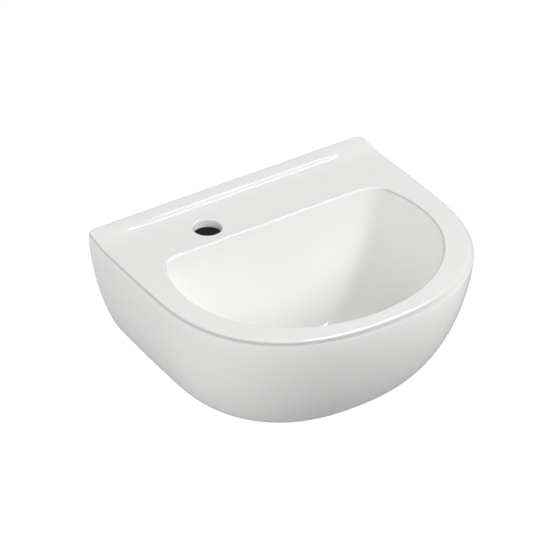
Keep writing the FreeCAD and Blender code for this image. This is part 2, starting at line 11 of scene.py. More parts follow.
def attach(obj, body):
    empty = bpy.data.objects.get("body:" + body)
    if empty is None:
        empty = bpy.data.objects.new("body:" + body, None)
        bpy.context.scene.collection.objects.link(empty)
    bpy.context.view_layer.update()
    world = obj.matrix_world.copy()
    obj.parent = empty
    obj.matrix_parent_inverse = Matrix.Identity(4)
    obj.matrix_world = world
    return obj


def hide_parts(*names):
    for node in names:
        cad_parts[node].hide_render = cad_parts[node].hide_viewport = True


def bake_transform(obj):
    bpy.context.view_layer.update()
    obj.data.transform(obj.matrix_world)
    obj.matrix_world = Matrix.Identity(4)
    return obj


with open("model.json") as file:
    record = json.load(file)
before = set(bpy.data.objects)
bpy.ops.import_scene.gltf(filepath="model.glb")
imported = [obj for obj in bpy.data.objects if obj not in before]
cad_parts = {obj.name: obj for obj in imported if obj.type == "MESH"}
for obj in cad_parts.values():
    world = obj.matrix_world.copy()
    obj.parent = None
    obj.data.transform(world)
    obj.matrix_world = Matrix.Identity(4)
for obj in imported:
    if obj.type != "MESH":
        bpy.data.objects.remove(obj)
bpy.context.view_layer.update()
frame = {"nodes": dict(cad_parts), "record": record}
nodes = frame["nodes"]
scene = bpy.context.scene
print("frame loaded:", len(nodes), "nodes")
weld = 2e-6  # points closer than this become one

# Metres throughout. The wall is Y = 0, the basin reaches out along -Y and +Z is up.
# The ceramic is one closed skin: rows of points round the D outline and round the bowl, the linings of
# its holes, and sheets between them for the deck, the roof under it and the two faces of the back.

basin = {
    "width": 0.400, "projection": 0.350, "rim": 0.071, "lowerEdge": -0.107, "closing": -0.114,
    "side": 0.165, "taper": 0.0034, "corner": 0.012, "frontFullness": 2.32,
    "footWidth": 0.118, "sideRoll": 1.35, "sideBelly": 3.8,
    "footFront": 0.195, "frontRoll": 1.54, "frontBelly": 2.7,
    "wall": 0.009, "backWall": 0.012, "deckThickness": 0.012, "footSoft": 0.0022,
    "roofSoft": 0.0025, "roofReach": 0.02, "roofGrid": 0.008, "backGrid": 0.007, "guard": 0.0008,
    "sweepPoints": 216, "cornerPoints": 8, "backPoints": 56,
    "skirtRows": 54, "innerRows": 20, "rowSpread": 0.72,
}


def planNormals(loop):  # outward normals of a closed plan loop, either way round
    step = np.roll(loop, -1, axis=0) - np.roll(loop, 1, axis=0)
    normal = np.stack([step[:, 1], -step[:, 0]], axis=1)
    normal /= np.linalg.norm(normal, axis=1)[:, None]
    area = np.sum(loop[:, 0] * np.roll(loop[:, 1], -1) - loop[:, 1] * np.roll(loop[:, 0], -1))
    return normal * (1 if area > 0 else -1)


def softStep(value, low, high):  # 0 at low, 1 at high, level at both
    share = np.clip((value - low) / (high - low), 0.0, 1.0)
    return share * share * (3 - 2 * share)


def evenMarks(curve, fine, count):  # marks an equal distance apart along a curve
    x, y = curve(fine)
    run = np.concatenate([[0.0], np.cumsum(np.hypot(np.diff(x), np.diff(y)))])
    return np.interp(np.linspace(0.0, run[-1], count), run, fine)


def withHeight(plan, height):
    return np.column_stack([plan, np.broadcast_to(height, (len(plan),))])


def softCorner(before, corner, after, reach, steps=4):  # rows that round a corner between two rows
    def unit(rows):
        return rows / np.maximum(np.linalg.norm(rows, axis=1), 1e-9)[:, None]
    first = corner + reach * unit(before - corner)
    last = corner + reach * unit(after - corner)
    return [(1 - t) ** 2 * first + 2 * t * (1 - t) * corner + t * t * last
            for t in np.linspace(0.0, 1.0, steps + 1)]


# A place on the D outline is one number: 0 to 1 down the side, 1 to 2 round the front's quarter.
def sweep(place, half, front, side, back):
    down = np.minimum(place, 1.0)
    turn = np.maximum(place - 1.0, 0.0) * math.pi / 2
    fullness = 2 / basin["frontFullness"]
    corner, taper = basin["corner"], basin["taper"]
    x = np.where(place < 1.0, half - taper + taper * (1 - (1 - down) ** 2),
                 half * np.maximum(np.cos(turn), 0.0) ** fullness)
    y = np.where(place < 1.0, back - corner + down * (corner - back - side),
                 -side - (front - side) * np.sin(turn) ** fullness)
    return x, y


sidePlaces = evenMarks(
    lambda place: sweep(place, basin["width"] / 2, basin["projection"], basin["side"], 0.0),
    np.concatenate([np.linspace(0.0, 1.0, 200)[:-1], np.linspace(1.0, 2.0, 800)]),
    basin["sweepPoints"] // 2 + 1)
sweepSize = 2 * len(sidePlaces) - 1
ringSize = sweepSize + 2 * basin["cornerPoints"] + basin["backPoints"]
backColumns = np.arange(sweepSize + 2 * basin["cornerPoints"] - 1, ringSize)  # quads on the flat back


def shellRow(share, inset, back):  # plan points of the D at a share of the skirt's depth
    share = np.broadcast_to(np.asarray(share, float), (ringSize,))

    def scaled(foot, roll, belly):
        return foot + (1 - foot) * np.maximum(1 - share ** roll, 0.0) ** (1 / belly)
    sideScale = scaled(basin["footWidth"] / basin["width"], basin["sideRoll"], basin["sideBelly"])
    frontScale = scaled(basin["footFront"] / basin["projection"], basin["frontRoll"], basin["frontBelly"])
    half = sideScale * basin["width"] / 2 - inset
    front = frontScale * basin["projection"] - inset
    side = frontScale * basin["side"]
    corner, count = basin["corner"], basin["cornerPoints"]
    reach = half - basin["taper"] - corner
    x, y = np.zeros(ringSize), np.zeros(ringSize)
    # sides and front
    run = slice(count, count + sweepSize)
    place = np.concatenate([sidePlaces, sidePlaces[::-1][1:]])
    across, y[run] = sweep(place, half[run], front[run], side[run], back)
    x[run] = across * np.where(np.arange(sweepSize) < len(sidePlaces), 1, -1)
    # rounded back corners
    for first, mirror in ((0, 1), (run.stop, -1)):
        turn = np.linspace(0.0, math.pi / 2, count + 1)
        turn = turn[:-1] if mirror == 1 else turn[::-1][1:]
        part = slice(first, first + count)
        x[part] = mirror * (reach[part] + corner * np.sin(turn))
        y[part] = back - corner + corner * np.cos(turn)
    # straight back
    part = slice(run.stop + count, ringSize)
    x[part] = reach[part] * np.linspace(-1.0, 1.0, basin["backPoints"] + 2)[1:-1]
    y[part] = back
    return np.stack([x, y], axis=1)


def insideLoops(points, loops):
    inside = np.zeros(len(points), bool)
    for loop in loops:
        for (x1, y1), (x2, y2) in zip(loop, np.roll(loop, -1, axis=0)):
            if y1 == y2:
                continue
            crosses = (y1 > points[:, 1]) != (y2 > points[:, 1])
            at = x1 + (points[:, 1] - y1) * (x2 - x1) / (y2 - y1)
            inside ^= crosses & (points[:, 0] < at)
    return inside


class Skin:  # collects points and faces, with one edge weight for each point: how much thin glaze and painted shade darken it
    def __init__(self):
        self.points, self.weights, self.faces, self.count = [], [], [], 0

    def add(self, points, weights=None):
        start = self.count
        self.points.append(np.asarray(points, float))
        self.weights.append(np.zeros(len(points)) if weights is None else np.asarray(weights, float))
        self.count += len(points)
        return start

    def rows(self, rows, weights=None, leaveOut=()):  # closed rows joined by quads
        size = len(rows[0])
        flat = None if weights is None else np.concatenate([np.broadcast_to(w, (size,)) for w in weights])
        start = self.add(np.vstack(rows), flat)
        gaps = {(row, column) for first, last, columns in leaveOut
                for row in range(first, last) for column in columns}
        for row in range(len(rows) - 1):
            for column in range(size):
                if (row, column) in gaps:
                    continue
                a, b = start + row * size + column, start + row * size + (column + 1) % size
                self.faces.append((a, b, b + size, a + size))

    def sheet(self, loops, axes, spacing, level, fine=None, clear=0.7):  # fills between closed loops
        flat = [np.asarray(loop)[:, axes] for loop in loops]
        low, high = flat[0].min(0), flat[0].max(0)
        across = np.arange(low[0] + spacing / 2, high[0], spacing)
        along = np.arange(low[1] + spacing / 2, high[1], spacing)
        grid = np.array(np.meshgrid(across, along)).reshape(2, -1).T
        if fine is not None:  # rows that stand closer take the grid's place where they lie
            grid = grid[(grid[:, 1] < fine[:, 1].min() - spacing / 2) |
                        (grid[:, 1] > fine[:, 1].max() + spacing / 2)]
            grid = np.vstack([grid, fine])
        border = np.vstack(flat)
        near = np.array([np.min(np.sum((border - point) ** 2, axis=1)) for point in grid])
        grid = grid[(near > (clear * spacing) ** 2) & insideLoops(grid, flat)]  # clear of the loops
        edges, start = [], 0
        for loop in flat:
            edges += [(start + i, start + (i + 1) % len(loop)) for i in range(len(loop))]
            start += len(loop)
        plan = [Vector(point) for point in np.vstack([border, grid])]
        out = delaunay_2d_cdt(plan, edges, [], 0, 1e-7, True)
        places = np.array([(point.x, point.y) for point in out[0]])
        triangles = np.array(out[2])
        keep = insideLoops(places[triangles].mean(1), flat)
        solid = np.zeros((len(places), 3))
        solid[:, axes] = places
        solid[:, 3 - sum(axes)] = level(places[:, 0], places[:, 1])
        fixed = np.vstack([np.asarray(loop) for loop in loops])
        for index, origins in enumerate(out[3]):
            if origins and origins[0] < len(fixed):
                solid[index] = fixed[origins[0]]
        start = self.add(solid)
        self.faces += [tuple(start + corner for corner in triangle) for triangle in triangles[keep]]

    def mesh(self, name):
        shape = bpy.data.meshes.new(name)
        shape.from_pydata(np.vstack(self.points).tolist(), [], self.faces)
        # the edge weights: thin glaze and painted shade
        edge = shape.attributes.new("edge", "FLOAT", "POINT")
        edge.data.foreach_set("value", np.concatenate(self.weights))
        work = bmesh.new()
        work.from_mesh(shape)
        bmesh.ops.remove_doubles(work, verts=work.verts, dist=weld)
        bmesh.ops.dissolve_degenerate(work, edges=work.edges, dist=1e-6)
        loose = [vert for vert in work.verts if not vert.link_faces]
        bmesh.ops.delete(work, geom=loose, context="VERTS")
        bmesh.ops.recalc_face_normals(work, faces=work.faces)
        openEdges = sum(1 for item in work.edges if len(item.link_faces) != 2)
        print(name, "faces", len(work.faces), "open or branched edges", openEdges)
        work.to_mesh(shape)
        work.free()
        shape.shade_smooth()
        return shape


# The ledge along the wall: a small step down, and a gentle slope to the deck that goes on past its ends.
ledge = {"height": 0.005, "middle": 0.0219, "blend": 0.0045, "step": 0.55, "reach": 0.045,
         "endStart": 0.124, "endFinish": 0.152, "grid": 0.003, "fineRow": 0.0005, "fineBand": 0.0035}


def ledgeHeight(x, y):  # the deck's height above the rim plane
    step = ledge["step"] * (1 - softStep(np.abs(x), ledge["endStart"], ledge["endFinish"]))
    crisp = softStep(y + ledge["middle"], -ledge["blend"] / 2, ledge["blend"] / 2)
    return ledge["height"] * (crisp * step + softStep(y, -ledge["reach"], 0.0) * (1 - step))


def ledgeRows():  # points that stand close enough for the step
    across = np.arange(-basin["width"] / 2, basin["width"] / 2, ledge["grid"])
    along = np.arange(-ledge["fineBand"], ledge["fineBand"] + 1e-6, ledge["fineRow"]) - ledge["middle"]
    return np.array(np.meshgrid(across, along)).reshape(2, -1).T


def roundedEdge(outline, onto, radius, edgeThinShade, steps):  # rows from the deck over its edge to the outline
    radius = radius[:, None]
    start = outline + onto * radius
    top = basin["rim"] + ledgeHeight(*start.T)
    level = start + onto * basin["guard"]  # a narrow strip on the deck keeps the shading level
    rows = [withHeight(level, basin["rim"] + ledgeHeight(*level.T))]
    weights = [0.0]
    for turn in np.linspace(math.pi / 2, 0.0, steps + 1):
        rows.append(withHeight(outline + onto * radius * (1 - math.cos(turn)),
                               top - radius[:, 0] * (1 - math.sin(turn))))
        # the edge weight, thin glaze and painted shade, is strongest half way round the edge
        weights.append(edgeThinShade * math.sin(2 * turn) ** 3)
    return rows, weights, top


# The rim's outer edge is crisp along the wall, and rounder towards the front and the right.
# Its colour is darkened along the edge, as thin glaze and painted shade: most at the left and least at the
# right.
rimEdge = {"back": 0.003, "side": 0.0035, "front": 0.008, "sideBy": 0.06, "frontBy": 0.30, "left": 0.55,
           "leftFacing": -0.6, "rightFacing": 0.5, "backFacing": 0.5, "edgeThinShadeBack": 0.7, "edgeThinShadeRight": 0.25,
           "edgeThinShadeFacing": (-0.6, 0.3), "rows": 12}


def shareAt(height):  # how far down the skirt a height lies
    top = basin["rim"] - rimEdge["front"]
    return np.clip((top - height) / (top - basin["closing"]), 0.0, 1.0)


def makeOutside(skin):
    outline = shellRow(0.0, 0.0, 0.0)
    normal = planNormals(outline)
    reach = -outline[:, 1]
    radius = rimEdge["back"] + (rimEdge["side"] - rimEdge["back"]) * softStep(reach, 0.0, rimEdge["sideBy"])
    right = softStep(normal[:, 0], rimEdge["leftFacing"], rimEdge["rightFacing"])
    full = rimEdge["left"] + (1 - rimEdge["left"]) * right
    full = full * softStep(reach, rimEdge["sideBy"], rimEdge["frontBy"])
    radius = radius + (rimEdge["front"] - radius) * full
    # painted shade, with thin glaze, on the outer edge: full at the left, less along the wall, least at the
    # right
    edgeThinShade = rimEdge["edgeThinShadeRight"] + (1 - rimEdge["edgeThinShadeRight"]) * softStep(-normal[:, 0], *rimEdge["edgeThinShadeFacing"])
    edgeThinShade = np.where(normal[:, 1] > rimEdge["backFacing"], rimEdge["edgeThinShadeBack"], edgeThinShade)
    rows, weights, top = roundedEdge(outline, -normal, radius, edgeThinShade, rimEdge["rows"])
    # skirt
    backFirst = len(rows) - 1
    start = top - radius
    closing, low = basin["closing"], basin["lowerEdge"]
    lowest = float(shareAt(low))
    last = math.asin(lowest ** basin["rowSpread"])

    def spread(part):  # rows stand closer where the skirt turns under
        return math.sin(last * part) ** (1 / basin["rowSpread"])
    for i in range(1, basin["skirtRows"]):
        height = start + (closing - start) * spread(i / basin["skirtRows"])
        rows.append(withHeight(shellRow(shareAt(height), 0.0, 0.0), height))
    skirtFoot = withHeight(shellRow(lowest, 0.0, 0.0), low)
    # lower edge: a flat ring, then straight up the inside
    prism = shellRow(lowest, basin["wall"], -basin["backWall"])
    ringInner = withHeight(prism, low)
    innerTop = basin["rim"] - basin["deckThickness"]
    innerClosing = closing + basin["wall"]
    prismTop = withHeight(prism, innerTop + lowest * (innerClosing - innerTop))
    backLast = len(rows)
    innerSoft = softCorner(skirtFoot, ringInner, prismTop, basin["footSoft"])
    rows += softCorner(rows[-1], skirtFoot, ringInner, basin["footSoft"]) + innerSoft
    innerFirst = len(rows) - 1
    # inside of the wall, up to the roof
    innerRows = []
    for i in range(basin["innerRows"] + 1):
        share = spread(1 - i / basin["innerRows"])
        height = innerTop + (innerClosing - innerTop) * share
        innerRows.append(withHeight(shellRow(share, basin["wall"], -basin["backWall"]), height))
    roofEdge = withHeight(shellRow(0.0, basin["wall"] + basin["roofReach"],
                                   -basin["backWall"] - basin["roofReach"]), innerTop)
    rows += innerRows[:-1]
    innerEnd = len(rows)
    rows += softCorner(innerRows[-2], innerRows[-1], roofEdge, basin["roofSoft"])
    weights += [0.0] * (len(rows) - len(weights))
    skin.rows(rows, weights, [(backFirst, backLast, backColumns), (innerFirst, innerEnd, backColumns)])
    return rows, (backFirst, backLast), (innerFirst, innerEnd)


def backLoop(rows, first, last):  # border of the flat back between two rows
    left, right = backColumns[0], 0
    across = [int(column) for column in backColumns[1:]]
    loop = [rows[first][left]] + [rows[first][column] for column in across]
    loop += [rows[row][right] for row in range(first, last + 1)]
    loop += [rows[last][column] for column in reversed(across)]
    loop += [rows[row][left] for row in range(last, first, -1)]
    return np.array(loop)


bowl = {
    "halfWidth": 0.167, "widest": -0.175, "rear": 0.076, "front": 0.148, "cornerSharp": 16.0,
    "cornerFade": 0.3, "pinch": 0.20, "frontFullness": 2.05, "depth": 0.122, "roll": 2.0, "belly": 1.5,
    "wall": 0.009, "lip": 0.003, "backLip": 0.0022, "ledgeFade": 4, "edgeThinShadeLeast": 0.12,
    "edgeThinShadeFront": 0.5, "edgeThinShadeFacing": (-0.1, 0.8), "fullFacing": (0.3, 0.7), "backFacing": (0.2, 0.9),
    "roofSoft": 0.003, "roofReach": 0.02, "points": 224, "rows": 52, "lipRows": 10, "underRows": 20,
    "curvePoints": 4001,
}
outlet = {"y": -0.205, "radius": 0.023, "seatRadius": 0.036, "seatThickness": 0.032, "soft": 0.0015,
          "floorRing": 0.030, "seatSoft": 0.003, "bossSoft": 0.004}
outletCentre = (0.0, outlet["y"])


# A quarter of the bowl's back half runs 0 to 1 along the side, is in the corner at 1, and ends at 2.
def rearQuarter(marks, half, rear, sharp, pinch):
    corner = 2 ** (-1 / sharp)
    onSide = marks < 1
    along = np.where(onSide, marks, 2 - marks) * corner
    other = (1 - along ** sharp) ** (1 / sharp)
    across, back = np.where(onSide, other, along), np.where(onSide, along, other)
    return across * half * np.sqrt(1 - pinch * back ** 2), back * rear


def frontQuarter(marks, half, front, fullness):
    turn = marks * math.pi / 2
    return (half * np.maximum(np.cos(turn), 0.0) ** (2 / fullness),
            front * np.maximum(np.sin(turn), 0.0) ** (2 / fullness))


quarterPoints = bowl["points"] // 4 + 1
rearMarks = evenMarks(
    lambda marks: rearQuarter(marks, bowl["halfWidth"], bowl["rear"], bowl["cornerSharp"], bowl["pinch"]),
    np.linspace(0.0, 2.0, bowl["curvePoints"]), quarterPoints)
frontMarks = evenMarks(
    lambda marks: frontQuarter(marks, bowl["halfWidth"], bowl["front"], bowl["frontFullness"]),
    np.linspace(0.0, 1.0, bowl["curvePoints"]), quarterPoints)


def bowlRow(share, grow, extra=0.0):  # plan points of the bowl at a share of its depth
    scale = (1 - share ** bowl["roll"]) ** (1 / bowl["belly"])
    seat = outlet["seatRadius"]
    half = seat + (bowl["halfWidth"] - seat) * scale + grow
    rear = seat + (bowl["rear"] - seat) * scale + grow
    front = seat + (bowl["front"] - seat) * scale + grow
    centre = outlet["y"] + (bowl["widest"] - outlet["y"]) * scale
    sharp = 2 + (bowl["cornerSharp"] - 2) * scale ** bowl["cornerFade"]
    backX, backY = rearQuarter(rearMarks, half, rear, sharp, bowl["pinch"] * scale)
    frontX, frontY = frontQuarter(frontMarks, half, front, 2 + (bowl["frontFullness"] - 2) * scale)
    x = np.concatenate([backX[:-1], -backX[::-1][:-1], -frontX[:-1], frontX[::-1][:-1]])
    y = centre + np.concatenate([backY[:-1], backY[::-1][:-1], -frontY[:-1], -frontY[::-1][:-1]])
    plan = np.stack([x, y], axis=1)
    return plan + planNormals(plan) * extra


def outletRow(radius, height):  # a circle round the outlet with the bowl's own points
    plan = bowlRow(1.0, 0.0) - outletCentre
    return withHeight(plan * radius / outlet["seatRadius"] + outletCentre, height)


def makeBowl(skin):
    outline = bowlRow(0.0, 0.0)
    normal = planNormals(outline)
    # The lip's colour is darkened, as thin glaze and painted shade, at the right and the front, and not along
    # the back.
    edgeThinShade = softStep(normal[:, 0] - bowl["edgeThinShadeFront"] * normal[:, 1], *bowl["edgeThinShadeFacing"])
    edgeThinShade = bowl["edgeThinShadeLeast"] + (1 - bowl["edgeThinShadeLeast"]) * edgeThinShade
    edgeThinShade = edgeThinShade * (1 - softStep(normal[:, 1], *bowl["fullFacing"]))
    radius = bowl["lip"] + (bowl["backLip"] - bowl["lip"]) * softStep(normal[:, 1], *bowl["backFacing"])
    rows, weights, top = roundedEdge(outline, normal, radius, edgeThinShade, bowl["lipRows"])
    begin = math.asin(bowl["lip"] / bowl["depth"])
    for i in range(1, bowl["rows"] + 1):
        share = min(math.sin(begin + (math.pi / 2 - begin) * i / bowl["rows"]), 1.0)
        raised = (top - basin["rim"]) * (1 - i / bowl["rows"]) ** bowl["ledgeFade"]
        rows.append(withHeight(bowlRow(share, 0.0), basin["rim"] - share * bowl["depth"] + raised))
    # outlet: down its bore, under its seat and up the boss
    floor = basin["rim"] - bowl["depth"]
    below, under = floor - outlet["seatThickness"], floor - bowl["wall"]
    holeTop, holeBase = outletRow(outlet["radius"], floor), outletRow(outlet["radius"], below)
    bossBase, bossTop = outletRow(outlet["seatRadius"], below), outletRow(outlet["seatRadius"], under)
    bossFoot = outletRow(outlet["seatRadius"] + bowl["wall"], under)
    rows.append(outletRow(outlet["floorRing"], floor))
    rows += softCorner(rows[-1], holeTop, holeBase, outlet["soft"])
    rows += softCorner(holeTop, holeBase, bossBase, outlet["soft"])
    rows += softCorner(holeBase, bossBase, bossTop, outlet["seatSoft"])
    rows += softCorner(bossBase, bossTop, bossFoot, outlet["bossSoft"])
    # underside of the bowl, up to the roof
    whole = bowl["depth"] + bowl["wall"]
    roofShare = basin["deckThickness"] / whole
    underRows = []
    for turn in np.linspace(math.pi / 2, math.asin(roofShare), bowl["underRows"] + 1):
        share = min(math.sin(turn), 1.0)
        underRows.append(withHeight(bowlRow(share, bowl["wall"]), basin["rim"] - share * whole))
    outward = withHeight(bowlRow(roofShare, bowl["wall"], bowl["roofReach"]),
                         basin["rim"] - basin["deckThickness"])
    rows += underRows[:-1] + softCorner(underRows[-2], underRows[-1], outward, bowl["roofSoft"])
    weights += [0.0] * (len(rows) - len(weights))
    skin.rows(rows, weights)
    return rows


tapHole = {"x": -0.0675, "y": -0.0665, "radius": 0.0175, "soft": 0.0017, "points": 72}
window = {"halfWidth": 0.125, "low": -0.047, "high": 0.033, "soft": 0.002, "corner": 0.004,
          "cornerPoints": 10, "step": 0.005}
securing = {"x": 0.100, "z": -0.063, "radius": 0.007, "soft": 0.0012, "points": 40}


def windowLoop():
    corner, high, low = window["corner"], window["high"], window["low"]
    wide = window["halfWidth"] - corner
    arcs = []
    for cx, cz, first in ((wide, high - corner, 0), (-wide, high - corner, 1),
                          (-wide, low + corner, 2), (wide, low + corner, 3)):
        for turn in np.linspace(0.0, math.pi / 2, window["cornerPoints"]) + first * math.pi / 2:
            arcs.append((cx + corner * math.cos(turn), cz + corner * math.sin(turn)))
    loop = []
    for point, following in zip(np.array(arcs), np.roll(np.array(arcs), -1, axis=0)):
        count = max(1, int(np.linalg.norm(following - point) / window["step"]))
        loop += [point + (following - point) * k / count for k in range(count)]
    return np.array(loop)


def circleLoop(cx, cy, radius, count):
    turn = np.linspace(0.0, 2 * math.pi, count + 1)[:-1]
    return np.stack([cx + radius * np.cos(turn), cy + radius * np.sin(turn)], axis=1)


def lining(skin, loop, axes, first, last, soft, steps=6):  # a through hole's wall, rounded at both ends
    normal = planNormals(loop)
    toward = 1 if last > first else -1

    def row(offset, depth):
        points = np.zeros((len(loop), 3))
        points[:, axes] = loop + normal * offset
        points[:, 3 - sum(axes)] = depth
        return points
    rows = [row(soft + basin["guard"], first)]
    for turn in np.linspace(0.0, math.pi / 2, steps):
        rows.append(row(soft * (1 - math.sin(turn)), first + toward * soft * (1 - math.cos(turn))))
    for turn in np.linspace(math.pi / 2, 0.0, steps):
        rows.append(row(soft * (1 - math.sin(turn)), last - toward * soft * (1 - math.cos(turn))))
    rows.append(row(soft + basin["guard"], last))
    skin.rows(rows)
    return rows[0], rows[-1]


def makeCeramic():
    skin = Skin()
    shellRows, outerBack, innerBack = makeOutside(skin)
    bowlRows = makeBowl(skin)
    roof = basin["rim"] - basin["deckThickness"]
    tapLoop = circleLoop(tapHole["x"], tapHole["y"], tapHole["radius"], tapHole["points"])
    tapTop, tapBase = lining(skin, tapLoop, [0, 1], basin["rim"], roof, tapHole["soft"])
    skin.sheet([shellRows[0], bowlRows[0], tapTop], [0, 1], ledge["grid"],
               lambda x, y: basin["rim"] + ledgeHeight(x, y), ledgeRows())
    skin.sheet([shellRows[-1], bowlRows[-1], tapBase], [0, 1], basin["roofGrid"], lambda x, y: roof)
    print("deck and roof laid")
    holes = [(windowLoop(), window["soft"])]
    holes += [(circleLoop(sign * securing["x"], securing["z"], securing["radius"], securing["points"]),
               securing["soft"]) for sign in (-1, 1)]
    ends = [lining(skin, loop, [0, 2], 0.0, -basin["backWall"], soft) for loop, soft in holes]
    for side, (rows, depth) in enumerate(((outerBack, 0.0), (innerBack, -basin["backWall"]))):
        skin.sheet([backLoop(shellRows, *rows)] + [end[side] for end in ends], [0, 2], basin["backGrid"],
                   lambda x, z: depth)
    piece = bpy.data.objects.new("basin_ceramic", skin.mesh("basin_ceramic"))
    scene.collection.objects.link(piece)
    return piece


ceramic = makeCeramic()
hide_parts("basin_body")
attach(ceramic, "basin")
print("ceramic made")


class Value:  # a socket that takes part in Python expressions
    def __init__(self, tree, socket):
        self.tree, self.socket = tree, socket

    def __add__(self, other):
        return self.tree.maths("ADD", self, other)

    def __sub__(self, other):
        return self.tree.maths("SUBTRACT", self, other)

    def __rsub__(self, other):
        return self.tree.maths("SUBTRACT", other, self)

    def __mul__(self, other):
        return self.tree.maths("MULTIPLY", self, other)

    def __truediv__(self, other):
        return self.tree.maths("DIVIDE", self, other)

    def __pow__(self, other):
        return self.tree.maths("POWER", self, other)


class Tree:  # a tree of shader or geometry nodes
    def __init__(self, tree):
        self.tree = tree

    def node(self, kind, settings=None, inputs=None, out=0):  # settings first, then values or links
        item = self.tree.nodes.new(kind)
        for key, value in (settings or {}).items():
            setattr(item, key, value)
        for key, value in inputs.items() if isinstance(inputs, dict) else enumerate(inputs or []):
            if isinstance(value, Value):
                self.tree.links.new(value.socket, item.inputs[key])
            else:
                item.inputs[key].default_value = value
        return Value(self, item.outputs[out]) if item.outputs else None

    def maths(self, operation, *values):
        return self.node("ShaderNodeMath", {"operation": operation}, list(values))

    def stretch(self, value, low, high, first=0.0, last=1.0):  # first at low, last at high
        return self.node("ShaderNodeMapRange", {}, {"Value": value, "From Min": low, "From Max": high,
                                                    "To Min": first, "To Max": last})

    def axis(self, vector, index):
        return self.node("ShaderNodeSeparateXYZ", {}, [vector], out=index)


class Finish(Tree):  # one material
    def __init__(self, name):
        self.material = bpy.data.materials.new(name)
        self.material.use_nodes = True
        super().__init__(self.material.node_tree)
        self.tree.nodes.clear()

    def place(self):
        return self.node("ShaderNodeTexCoord", out="Object")

    def noise(self, scale, detail=2.0, roughness=0.5, vector=None):
        return self.node("ShaderNodeTexNoise", {}, {"Vector": vector or self.place(), "Scale": scale,
                                                    "Detail": detail, "Roughness": roughness})

    def mix(self, factor, first, second):  # colours
        return self.node("ShaderNodeMix", {"data_type": "RGBA"}, {0: factor, 6: first, 7: second}, out=2)

    def bump(self, height, strength, distance):
        return self.node("ShaderNodeBump", {}, {"Height": height, "Strength": strength,
                                                "Distance": distance})

    def close(self, **inputs):  # the shader and the output
        words = {key.replace("_", " "): value for key, value in inputs.items()}
        self.finish(self.node("ShaderNodeBsdfPrincipled", {}, words))
        return self.material

    def finish(self, shader):
        self.node("ShaderNodeOutputMaterial", {}, {"Surface": shader})


def dress(piece, material):
    piece.data.materials.clear()
    piece.data.materials.append(material)


def shaded(colour, share=1.0):
    return tuple(value * share for value in colour) + (1,)


# The darkest edge colour stands for thin glaze and painted shade.
glaze = {"body": (0.88, 0.88, 0.87), "shade": (0.86, 0.86, 0.85), "thinAndShaded": (0.50, 0.50, 0.49),
         "bisque": (0.74, 0.72, 0.67), "bisqueDark": (0.66, 0.63, 0.57), "bare": (0.0016, 0.0009),
         "roughness": (0.07, 0.11), "bareRoughness": 0.55, "index": 1.5, "relief": 0.12,
         "waviness": 0.0004, "mottleScale": 9.0, "grainScale": 900.0, "waveScale": 55.0,
         "roughnessScale": 24.0}


def makeGlaze():
    m = Finish("white_glaze")
    # The face on the wall and the foot stood in the kiln, so they are left without glaze.
    far, near = glaze["bare"]
    back = m.stretch(m.axis(m.place(), 1), -far, -near)
    foot = m.stretch(m.axis(m.place(), 2), basin["lowerEdge"] + far, basin["lowerEdge"] + near)
    bare = m.maths("MAXIMUM", back, foot)
    # The edge weight darkens the glaze along the rim and the lip: thin glaze and painted shade.
    edge = m.node("ShaderNodeAttribute", {"attribute_name": "edge"}, out="Fac")
    body = m.mix(m.noise(glaze["mottleScale"], 3.0), shaded(glaze["body"]), shaded(glaze["shade"]))
    glazedWithShade = m.mix(edge, body, shaded(glaze["thinAndShaded"]))
    grain = m.noise(glaze["grainScale"], 4.0, 0.6)
    clay = m.mix(m.stretch(grain, 0.35, 0.65), shaded(glaze["bisque"]), shaded(glaze["bisqueDark"]))
    wave = m.noise(glaze["waveScale"], 1.0)
    smooth = m.stretch(m.noise(glaze["roughnessScale"]), 0.0, 1.0, *glaze["roughness"])
    return m.close(Base_Color=m.mix(bare, glazedWithShade, clay), IOR=glaze["index"],
                   Roughness=smooth + bare * glaze["bareRoughness"],
                   Normal=m.bump(wave * (1 - bare) + grain * bare, glaze["relief"], glaze["waviness"]))


def cast(name, colour, roughness, grain, depth):  # moulded or coated: a fine even grain
    m = Finish(name)
    spots = m.noise(grain, 4.0, 0.6)
    wide = m.noise(60.0, 2.0)
    shade = m.stretch(spots * 0.6 + wide * 0.4, 0.3, 0.7)
    return m.close(Base_Color=m.mix(shade, shaded(colour, 0.8), shaded(colour)),
                   Roughness=m.stretch(wide, 0.0, 1.0, roughness * 0.8, roughness * 1.2),
                   Normal=m.bump(spots, 0.3, depth))


def machined(name, colour, roughness, pitch, depth):  # metal with a lathe tool's rings round the outlet
    m = Finish(name)
    x = m.axis(m.place(), 0) - outletCentre[0]
    y = m.axis(m.place(), 1) - outletCentre[1]
    wander = m.noise(40.0, 2.0)
    rings = m.maths("SINE", (x * x + y * y) ** 0.5 * (2 * math.pi / pitch) + wander * 3)
    shade = m.stretch(rings * 0.25 + wander, 0.1, 0.9)
    return m.close(Base_Color=m.mix(shade, shaded(colour, 0.82), shaded(colour)), Metallic=1.0,
                   Roughness=m.stretch(wander, 0.0, 1.0, roughness * 0.75, roughness * 1.25),
                   Normal=m.bump(rings, 0.25, depth))


def plated(name, colour, tint, roughness):  # zinc plate or wire: a mottled film and fine scratches
    m = Finish(name)
    film = m.noise(35.0, 5.0, 0.65)
    stretched = m.node("ShaderNodeMapping", {}, {"Vector": m.place(), "Scale": (900.0, 60.0, 900.0)})
    scratches = m.noise(1.0, 3.0, 0.5, stretched)
    return m.close(Base_Color=m.mix(m.stretch(film, 0.3, 0.7), shaded(colour), shaded(tint)), Metallic=1.0,
                   Roughness=m.stretch(scratches, 0.0, 1.0, roughness * 0.7, roughness * 1.3),
                   Normal=m.bump(scratches, 0.2, 0.00003))


